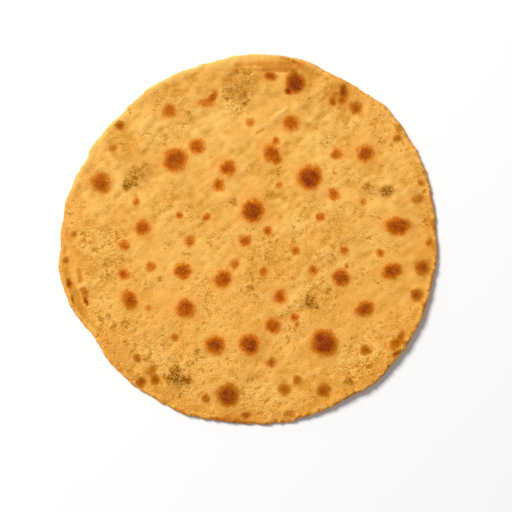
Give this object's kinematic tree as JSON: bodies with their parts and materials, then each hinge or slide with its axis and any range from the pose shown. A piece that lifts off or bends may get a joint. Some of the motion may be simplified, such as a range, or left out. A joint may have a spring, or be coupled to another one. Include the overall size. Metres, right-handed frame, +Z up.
{
  "type": "chapati flatbread",
  "caption": "Round unleavened wheat flatbread, thin and soft, with scorched blisters, a doubled lip on one side and a slightly torn, curled rim.",
  "frame": {"origin": "on the surface the bread lies on, under the middle of the round's bounding box", "axes": "+Z up out of the top face, the short way through the bread; +Y towards the doubled lip; +X to the right of it"},
  "size_m": [0.2038, 0.1998, 0.0053],
  "materials": {
    "baked_dough": "dull baked wheat dough, golden, with red-brown scorched blisters, ochre pits and a few olive flecks"
  },
  "bodies": {
    "root": {"chapati": "baked_dough"}
  },
  "joints": []
}
